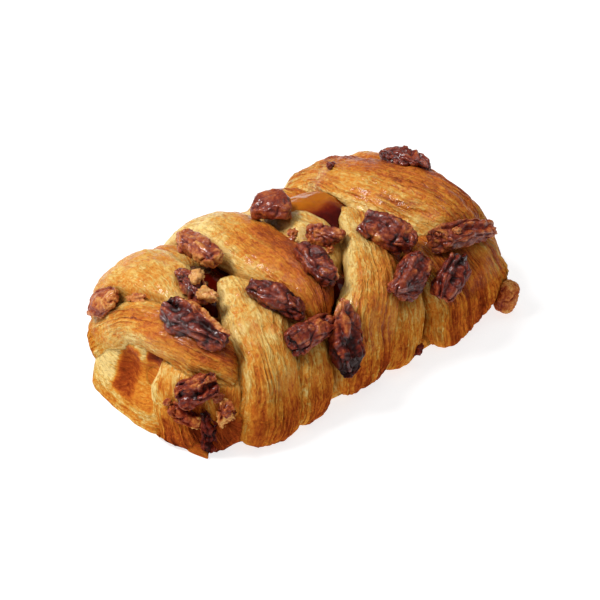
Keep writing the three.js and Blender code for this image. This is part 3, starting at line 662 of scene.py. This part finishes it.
nut_points = np.concatenate([positions(o.data)[::3] for o in nuts])
near_tree = KDTree(len(nut_points))
for p in nut_points:
    near_tree.insert(Vector(p), 0)
near_tree.balance()
gap = np.array([near_tree.find(Vector(p))[2] for p in base * 0.001]) * 1000
stain = np.exp(-((gap / 1.4) ** 2)) * np.clip(0.55 + 0.6 * cloud(co, 3.0, 11.0, 2), 0, 1)

step = lambda lo, hi, v: np.clip((v - lo) / (hi - lo), 0, 1) ** 2 * (3 - 2 * np.clip((v - lo) / (hi - lo), 0, 1))
low = step(20, 4, co[:, 2])
# browner towards the bottom, partly real baking and partly painted shade on the low sides; paler in the creases, where
# the dough bakes less
bake = fields["bake"] + 0.22 * low - 0.5 * np.maximum(0, crease - 0.2)
# the end flaps' recesses take their crease's brown; the third left crease's brown is painted shade
for number, out, c in [(32, -1, c) for c in CREASES] + [(34, 1, c) for c in RIGHT_CREASES]:
    at = step(c["wide"] * 0.58, c["wide"] * 0.42, np.abs(co[:, 1] - c["y"] + 0.5 * cloud(co, 5.0, 21.0, 2)))
    at = at * step(c["low"] - 2, c["low"], co[:, 2]) * step(c["high"] + 2, c["high"], co[:, 2]) * ((out * co[:, 0] > 50) & (np.round(fields["strip"]) == number))
    bake = bake * (1 - at) + c["brown"] * at
    for key in ("layer", "show", "lines"):
        fields[key] = fields[key] * (1 - 0.9 * at)
bake = bake + 0.5 * step(8, 2, co[:, 2]) * (np.round(fields["strip"]) == 32)
bake = smoothed(bake, edges, count, np.full(count, 0.4), 1)
fields.update(bake=np.clip(bake, -0.2, 1.6), crease=np.clip(crease, 0, 1), stain=stain)
for key in ("strip", "lines", "bake", "layer", "across", "along", "sheet", "show"):
    me.attributes.remove(me.attributes[key])
for key, v in fields.items():
    set_values(me, key, v)


# ---- Crumbs ------------------------------------------------------------------
# place on the loaf, size, tone and direction of the nut crumbs lying on the dough
CRUMBS = [
    (29.5, 61, (3.6, 2.2, 1.8), 0.3, 40), (14, 188, (3.8, 2.4, 2.0), 0.3, 10), (-49.5, 77, (6.4, 2.6, 2.0), 0.72, -70),
    (-0.5, 90, (3.2, 2.4, 2.0), 0.66, 0), (-3, 92, (2.6, 2.0, 1.6), 0.6, 30), (-38.2, 100.5, (5.6, 3.6, 3.2), 0.86, -60),
    (-37.2, 93.5, (4.6, 3.6, 3.2), 0.9, 60), (-38.6, 106, (2.8, 2.2, 2.0), 0.88, 0), (-50, 157, (3.2, 2.4, 2.0), 0.55, 0),
    (-48.6, 165, (2.8, 2.2, 1.8), 0.5, 40), (-57, 158, (2.6, 2.0, 1.6), 0.6, 10), (-56.6, 166, (3.0, 2.2, 1.8), 0.5, 80),
    (34, 131, (2.6, 2.0, 1.8), 0.7, 0), (-6, 134, (2.4, 2.0, 1.6), 0.5, 20), (3, 104, (2.4, 1.8, 1.6), 0.62, 50),
]


def crumb_mesh():
    rows, around = 24, 30
    v = np.linspace(0, np.pi, rows + 2)[1:-1, None]
    u = np.linspace(0, 2 * np.pi, around, endpoint=False)[None, :]
    ball = np.stack(np.broadcast_arrays(np.cos(v), np.sin(v) * np.cos(u), np.sin(v) * np.sin(u)), -1)
    verts, faces, tones = [], [], []
    for i, (x, turn, size, tone, heading) in enumerate(CRUMBS):
        n = skin_normal(x, turn)
        start = on_skin(x, turn, np.array(12.0)) - MIDDLE
        hit = tree.ray_cast(Vector(start * 0.001), Vector(-n))[0]
        at = np.array(hit) * 1000 + MIDDLE + n * size[2] * 0.25
        ex = unit(np.array([1.0, 0, 0]) - n * n[0])
        ey = np.cross(n, ex)
        a = math.radians(heading)
        axes = np.stack([ex * math.cos(a) + ey * math.sin(a), ey * math.cos(a) - ex * math.sin(a), n])
        local = ball * np.array(size) / 2 * (1 + 0.45 * cloud(ball, 0.8, i + 5.0, 2))[..., None]
        nub = 0.6 - cells(local / 0.75 + i, i * 7 + 3)
        local = local + ball * (0.55 * nub)[..., None]
        p, f = closed_grid(at + local @ axes, np.stack([at + (local[0].mean(0)) @ axes, at + (local[-1].mean(0)) @ axes]))
        start = sum(len(q) for q in verts)
        faces += [tuple(start + k for k in g) for g in f]
        verts.append(p)
        # lighter on the raised nubs: painted light
        t = tone + 0.3 * nub + 0.1 * cloud(local, 1.5, i + 9.0, 2)
        tones.append(np.concatenate([[t[0].mean()], t.ravel(), [t[-1].mean()]]))
    tones = np.concatenate(tones)
    return add_mesh("nut_crumbs", np.concatenate(verts), faces, dict(tone=tones, crumb=np.full(len(tones), 0.7)))


crumbs = crumb_mesh()


# ---- Materials ---------------------------------------------------------------
def srgb(r, g, b):
    return tuple((c / 255 / 12.92 if c / 255 <= 0.04045 else ((c / 255 + 0.055) / 1.055) ** 2.4) for c in (r, g, b)) + (1.0,)


class Shader:
    def __init__(self, name):
        self.mat = bpy.data.materials.new(name)
        self.mat.use_nodes = True
        self.tree = self.mat.node_tree
        self.tree.nodes.clear()
        self.out = self.tree.nodes.new("ShaderNodeOutputMaterial")
        self.bsdf = self.tree.nodes.new("ShaderNodeBsdfPrincipled")
        self.link(self.bsdf.outputs[0], self.out.inputs[0])
        self.where = self.tree.nodes.new("ShaderNodeTexCoord").outputs["Object"]

    def link(self, a, b):
        self.tree.links.new(a, b)

    def put(self, socket, v):
        if isinstance(v, bpy.types.NodeSocket):
            self.link(v, socket)
        else:
            socket.default_value = v

    def value(self, name):
        n = self.tree.nodes.new("ShaderNodeAttribute")
        n.attribute_name = name
        return n.outputs["Fac"]

    def math(self, kind, a, b=0.0, c=0.0, clamp=False):
        n = self.tree.nodes.new("ShaderNodeMath")
        n.operation, n.use_clamp = kind, clamp
        for socket, v in zip(n.inputs, (a, b, c)):
            self.put(socket, v)
        return n.outputs[0]

    def noise(self, size_mm, detail=3.0, rough=0.55, stretch=None):
        n = self.tree.nodes.new("ShaderNodeTexNoise")
        n.inputs["Scale"].default_value = 1000.0 / size_mm
        n.inputs["Detail"].default_value = detail
        n.inputs["Roughness"].default_value = rough
        if stretch:
            m = self.tree.nodes.new("ShaderNodeMapping")
            m.inputs["Scale"].default_value = stretch
            self.link(self.where, m.inputs["Vector"])
            self.link(m.outputs[0], n.inputs["Vector"])
        else:
            self.link(self.where, n.inputs["Vector"])
        return n.outputs["Fac"]

    def noise_at(self, where, scale, detail, rough, distort=0.0):
        n = self.tree.nodes.new("ShaderNodeTexNoise")
        for key, v in (("Scale", scale), ("Detail", detail), ("Roughness", rough), ("Distortion", distort)):
            n.inputs[key].default_value = v
        self.link(where, n.inputs["Vector"])
        return n.outputs["Fac"]

    def span(self, v, a, b, c=0.0, d=1.0):
        n = self.tree.nodes.new("ShaderNodeMapRange")
        self.put(n.inputs["Value"], v)
        for key, x in zip(("From Min", "From Max", "To Min", "To Max"), (a, b, c, d)):
            n.inputs[key].default_value = x
        return n.outputs[0]

    def ramp(self, v, stops):
        n = self.tree.nodes.new("ShaderNodeValToRGB")
        ramp = n.color_ramp
        while len(ramp.elements) < len(stops):
            ramp.elements.new(0.5)
        for e, (at, colour) in zip(ramp.elements, stops):
            e.position, e.color = at, colour
        self.put(n.inputs[0], v)
        return n.outputs[0]

    def mix(self, share, a, b, kind="MIX"):
        n = self.tree.nodes.new("ShaderNodeMix")
        n.data_type, n.blend_type = "RGBA", kind
        self.put(n.inputs[0], share)
        self.put(n.inputs[6], a)
        self.put(n.inputs[7], b)
        return n.outputs[2]

    def height(self, low, high):
        """0 at height low (m) to 1 at height high."""
        n = self.tree.nodes.new("ShaderNodeSeparateXYZ")
        self.link(self.where, n.inputs[0])
        return self.span(n.outputs[2], low, high)

    def bump(self, height, strength, distance_mm, inputs=("Normal", "Coat Normal")):
        n = self.tree.nodes.new("ShaderNodeBump")
        n.inputs["Strength"].default_value = strength
        n.inputs["Distance"].default_value = distance_mm * 0.001
        self.put(n.inputs["Height"], height)
        for key in inputs:
            self.link(n.outputs[0], self.bsdf.inputs[key])


def dough_material():
    m = Shader("baked_dough")
    bake, lines, layer, crease, stain = (m.value(k) for k in ("bake", "lines", "layer", "crease", "stain"))
    across, along, strip = m.value("across"), m.value("along"), m.value("strip")
    place_in = m.math("FRACT", m.math("ADD", m.value("sheet"), m.span(m.noise(1.6, 3, 0.6), 0.3, 0.7, -0.16, 0.16)))
    # the foot and the top edge of each layer's step, coloured darker and lighter below as painted shade and painted
    # light
    shaded_step_foot = m.math("MULTIPLY", m.math("MULTIPLY", m.span(place_in, 0.7, 0.88), m.span(place_in, 1.0, 0.94)), m.value("show"))
    lit_step_edge = m.math("MULTIPLY", m.math("MULTIPLY", m.span(place_in, 0.35, 0.66), m.span(place_in, 0.76, 0.68)), m.value("show"))

    def fibres(per_mm, along_mm, shift, detail=0.0, distort=0.25):
        place = m.tree.nodes.new("ShaderNodeCombineXYZ")
        m.put(place.inputs[0], m.math("MULTIPLY", across, per_mm))
        m.put(place.inputs[1], m.math("MULTIPLY", along, along_mm))
        m.put(place.inputs[2], m.math("MULTIPLY_ADD", strip, 5.3, shift))
        return m.noise_at(place.outputs[0], 1.0, detail, 0.6, distort)

    def thin(v, width):
        return m.span(m.math("ABSOLUTE", m.math("SUBTRACT", v, 0.5)), width, 0.0)

    fibre = fibres(1.9, 0.14, 0.0, 2.0, 0.4)
    flake = fibres(1.0, 0.55, 21.3, 3.0, 1.0)
    band = fibres(0.42, 0.03, 33.7, 1.0, 0.3)
    group = m.span(fibres(0.16, 0.05, 15.1, 1.0, 0.3), 0.42, 0.58)
    seams = m.math("MULTIPLY", thin(fibres(0.62, 0.022, 3.1, 0.0, 0.5), 0.06), group)
    cracks = m.math("MAXIMUM", seams, m.math("MULTIPLY", thin(fibres(0.8, 0.1, 7.7, 0.0, 1.2), 0.07), 0.8))
    grain = m.noise(0.9, 4, 0.6)
    patch = m.noise(6.0, 3, 0.5)
    cracks = m.math("MULTIPLY", m.math("MULTIPLY", cracks, m.span(m.noise(5.0, 2, 0.5), 0.36, 0.52)), m.span(layer, 0.0, 0.8), clamp=True)
    rough = m.span(layer, 0.1, 1.1, 0.75, 1.1)
    f = m.math("ADD", m.span(patch, 0.35, 0.65, -0.15, 0.15), m.span(grain, 0.3, 0.7, -0.15, 0.15))
    f = m.math("ADD", f, m.math("MULTIPLY", m.span(flake, 0.3, 0.7, 0.4, -0.4), rough))
    f = m.math("ADD", f, m.math("MULTIPLY", m.span(band, 0.35, 0.65, 0.34, -0.34), layer))
    f = m.math("ADD", f, m.math("MULTIPLY", m.span(fibre, 0.32, 0.68, 0.1, -0.1), layer))
    # painted light and shade on the rolled layers: paler on their ridges and at the top edge of each step, darker in
    # the valleys and at the foot of each step
    f = m.math("ADD", f, m.math("MULTIPLY", lines, -0.2))
    f = m.math("ADD", f, m.math("MULTIPLY", lit_step_edge, -0.3))
    f = m.math("ADD", f, m.math("MULTIPLY", shaded_step_foot, 0.38))
    f = m.math("ADD", bake, m.math("MULTIPLY", f, m.span(bake, 0.2, 0.9, 1.15, 0.72)))
    base = m.ramp(m.span(f, -0.2, 1.6), [
        (0.0, srgb(249, 217, 140)), (0.17, srgb(230, 185, 98)), (0.36, srgb(224, 146, 52)), (0.56, srgb(202, 107, 36)), (0.74, srgb(161, 69, 27)), (1.0, srgb(94, 32, 14)),
    ])
    speck = m.span(m.noise(1.1, 2, 0.5), 0.62, 0.72)
    pores = m.math("MULTIPLY", m.span(fibres(1.3, 0.5, 12.9, 1.0), 0.56, 0.72), m.span(bake, 0.55, 0.15))
    col = m.mix(m.math("MULTIPLY", speck, 0.35), base, srgb(150, 80, 30))
    col = m.mix(m.math("MULTIPLY", pores, 0.4), col, srgb(168, 112, 44))
    col = m.mix(m.math("MULTIPLY", cracks, 0.62), col, srgb(116, 40, 12))
    col = m.mix(m.math("MULTIPLY", stain, 0.55), col, srgb(112, 44, 18))
    # painted shade: the colour is darkened with a warm brown tint where little can be seen, in the creases between
    # strips and beside the nuts
    col = m.mix(m.math("MULTIPLY", m.span(crease, 0.2, 0.65), 0.8), col, (0.6, 0.42, 0.22, 1), "MULTIPLY")
    m.put(m.bsdf.inputs["Base Color"], col)
    m.put(m.bsdf.inputs["Roughness"], m.span(grain, 0.3, 0.7, 0.34, 0.48))
    upper = m.height(0.014, 0.032)
    m.put(m.bsdf.inputs["Specular IOR Level"], m.span(upper, 0.0, 1.0, 0.0, 0.13))
    m.put(m.bsdf.inputs["Coat Weight"], m.math("MULTIPLY", m.span(m.noise(3.0, 3, 0.6), 0.42, 0.58, 0.05, 0.45), m.span(upper, 0.0, 1.0, 0.0, 1.0)))
    m.put(m.bsdf.inputs["Coat Roughness"], 0.12)
    m.put(m.bsdf.inputs["Subsurface Weight"], 0.08)
    m.put(m.bsdf.inputs["Subsurface Radius"], (1.0, 0.5, 0.22))
    m.put(m.bsdf.inputs["Subsurface Scale"], 0.0018)
    relief = m.math("ADD", m.math("MULTIPLY", m.math("MULTIPLY", flake, rough), 1.7), m.math("MULTIPLY", grain, 0.6))
    relief = m.math("ADD", relief, m.math("MULTIPLY", m.math("MULTIPLY", fibre, layer), 0.5))
    relief = m.math("SUBTRACT", relief, m.math("MULTIPLY", m.math("MAXIMUM", cracks, shaded_step_foot), 0.9))
    relief = m.math("ADD", relief, m.math("MULTIPLY", lit_step_edge, 0.5))
    relief = m.math("SUBTRACT", relief, m.math("MULTIPLY", pores, 0.25))
    m.bump(relief, 0.8, 0.5, ["Normal"])
    # the egg glaze on top is smoother than the dough under it
    m.bump(m.math("ADD", m.noise(1.4, 2, 0.5), m.math("MULTIPLY", lit_step_edge, 0.3)), 0.9, 0.36, ["Coat Normal"])
    return m.mat


def pecan_material():
    m = Shader("glazed_pecan")
    crumb = m.value("crumb")
    tone = m.math("ADD", m.value("tone"), m.span(m.noise(0.9, 4, 0.65), 0.3, 0.7, -0.17, 0.17))
    col = m.ramp(tone, [
        (0.0, srgb(44, 8, 4)), (0.2, srgb(86, 21, 12)), (0.38, srgb(124, 41, 23)), (0.56, srgb(164, 74, 37)), (0.76, srgb(206, 122, 58)), (1.0, srgb(232, 174, 98)),
    ])
    m.put(m.bsdf.inputs["Base Color"], col)
    m.put(m.bsdf.inputs["Roughness"], m.span(crumb, 0.0, 1.0, 0.32, 0.44))
    m.put(m.bsdf.inputs["Specular IOR Level"], m.math("MULTIPLY", m.span(crumb, 0.0, 1.0, 0.3, 0.2), m.height(0.01, 0.034)))
    m.put(m.bsdf.inputs["Coat Weight"], m.math("MULTIPLY", m.span(m.noise(2.2, 2, 0.5), 0.4, 0.6, 0.2, 1.0), m.span(m.height(0.01, 0.034), 0.0, 1.0, 0.2, 1.0)))
    m.put(m.bsdf.inputs["Coat Roughness"], 0.12)
    m.bump(m.noise(0.7, 4, 0.65), 0.9, 0.35, ["Normal"])
    # a smoother layer of syrup
    m.bump(m.noise(1.5, 2, 0.5), 0.8, 0.4, ["Coat Normal"])
    return m.mat


def filling_material():
    m = Shader("maple_syrup")
    amber = m.math("ADD", m.value("amber"), m.span(m.noise(3.0, 3, 0.5), 0.3, 0.7, -0.12, 0.12))
    col = m.ramp(amber, [(0.0, srgb(66, 5, 1)), (0.3, srgb(102, 20, 4)), (0.6, srgb(146, 62, 8)), (1.0, srgb(184, 102, 14))])
    m.put(m.bsdf.inputs["Base Color"], col)
    m.put(m.bsdf.inputs["Roughness"], 0.2)
    m.put(m.bsdf.inputs["Specular IOR Level"], 0.03)
    m.put(m.bsdf.inputs["Coat Weight"], m.span(m.height(0.027, 0.03), 0.0, 1.0, 0.04, 0.5))
    m.put(m.bsdf.inputs["Coat Roughness"], 0.06)
    m.put(m.bsdf.inputs["Subsurface Weight"], 0.2)
    m.put(m.bsdf.inputs["Subsurface Radius"], (1.0, 0.35, 0.1))
    m.put(m.bsdf.inputs["Subsurface Scale"], 0.002)
    m.bump(m.noise(2.2, 2, 0.5), 0.4, 0.5)
    return m.mat


fco = positions(filling.data) * 1000 + MIDDLE
# amber towards the back and right of the top pool, dark red at its front and in the gaps between strips: partly the
# syrup's own colour where it lies thick, partly painted shade
set_values(filling.data, "amber", step(0, 9, fco[:, 1]) * step(-6, 2, fco[:, 0]))
for o, mat, name in [(dough, dough_material(), "dough"), (filling, filling_material(), "maple_filling")]:
    o.data.materials.clear()
    o.data.materials.append(mat)
    o.data.shade_smooth()
    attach(o, "root")
    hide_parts(name)
nut_look = pecan_material()
for i, o in enumerate(nuts):
    o.data.materials.append(nut_look)
    o.data.shade_smooth()
    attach(o, "root")
    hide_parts("pecan_%02d" % (i + 1))
crumbs.data.materials.append(nut_look)
crumbs.data.shade_smooth()
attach(crumbs, "root")
print("faces", sum(len(p.vertices) - 2 for p in dough.data.polygons), len(nuts))

# ---- Stage -------------------------------------------------------------------
floor_mesh = bpy.data.meshes.new("floor")
floor_mesh.from_pydata([(-1.2, -1.2, 0), (1.2, -1.2, 0), (1.2, 1.2, 0), (-1.2, 1.2, 0)], [], [(0, 1, 2, 3)])
floor = bpy.data.objects.new("floor", floor_mesh)
floor.location.z = -0.0002
bpy.context.scene.collection.objects.link(floor)
look = Shader("white_floor")
look.put(look.bsdf.inputs["Base Color"], (0.4, 0.4, 0.4, 1))
look.put(look.bsdf.inputs["Roughness"], 1.0)
look.put(look.bsdf.inputs["Specular IOR Level"], 0.0)
look.put(look.bsdf.inputs["Emission Color"], (1, 1, 1, 1))
look.put(look.bsdf.inputs["Emission Strength"], 0.78)
floor_mesh.materials.append(look.mat)

world = bpy.data.worlds.new("studio")
world.use_nodes = True
world.node_tree.nodes["Background"].inputs["Color"].default_value = (1, 1, 1, 1)
world.node_tree.nodes["Background"].inputs["Strength"].default_value = 0.17
bpy.context.scene.world = world
bpy.context.scene.view_settings.view_transform = "Standard"


def softbox(name, at, size, power):
    data = bpy.data.lights.new(name, "AREA")
    data.shape, data.size, data.energy = "DISK", size, power
    o = bpy.data.objects.new(name, data)
    o.location = at
    o.rotation_euler = (Vector((0, 0, 0.015)) - Vector(at)).to_track_quat("-Z", "Y").to_euler()
    bpy.context.scene.collection.objects.link(o)


softbox("key", (-0.42, 0.3, 0.85), 0.36, 8.3)
softbox("top", (0.1, -0.1, 0.95), 0.7, 2.0)

THETA, RAISE = math.radians(40.5), math.radians(38)
right = Vector((math.cos(THETA), -math.sin(THETA), 0))
ahead = Vector((math.sin(THETA), math.cos(THETA), 0))
upward = ahead * math.sin(RAISE) + Vector((0, 0, math.cos(RAISE)))
backward = -ahead * math.cos(RAISE) + Vector((0, 0, math.sin(RAISE)))
target = right * 0.001634 + upward * 0.006817 - Vector(MIDDLE * 0.001)
camera = bpy.data.objects.new("camera", bpy.data.cameras.new("camera"))
camera.data.lens, camera.data.sensor_width = 191.7, 36
camera.data.clip_start, camera.data.clip_end = 0.01, 20
place = Matrix.Identity(4)
for i, axis in enumerate((right, upward, backward)):
    place.col[i][:3] = axis
place.translation = target + backward * 0.9
camera.matrix_world = place
bpy.context.scene.collection.objects.link(camera)
bpy.context.scene.camera = camera
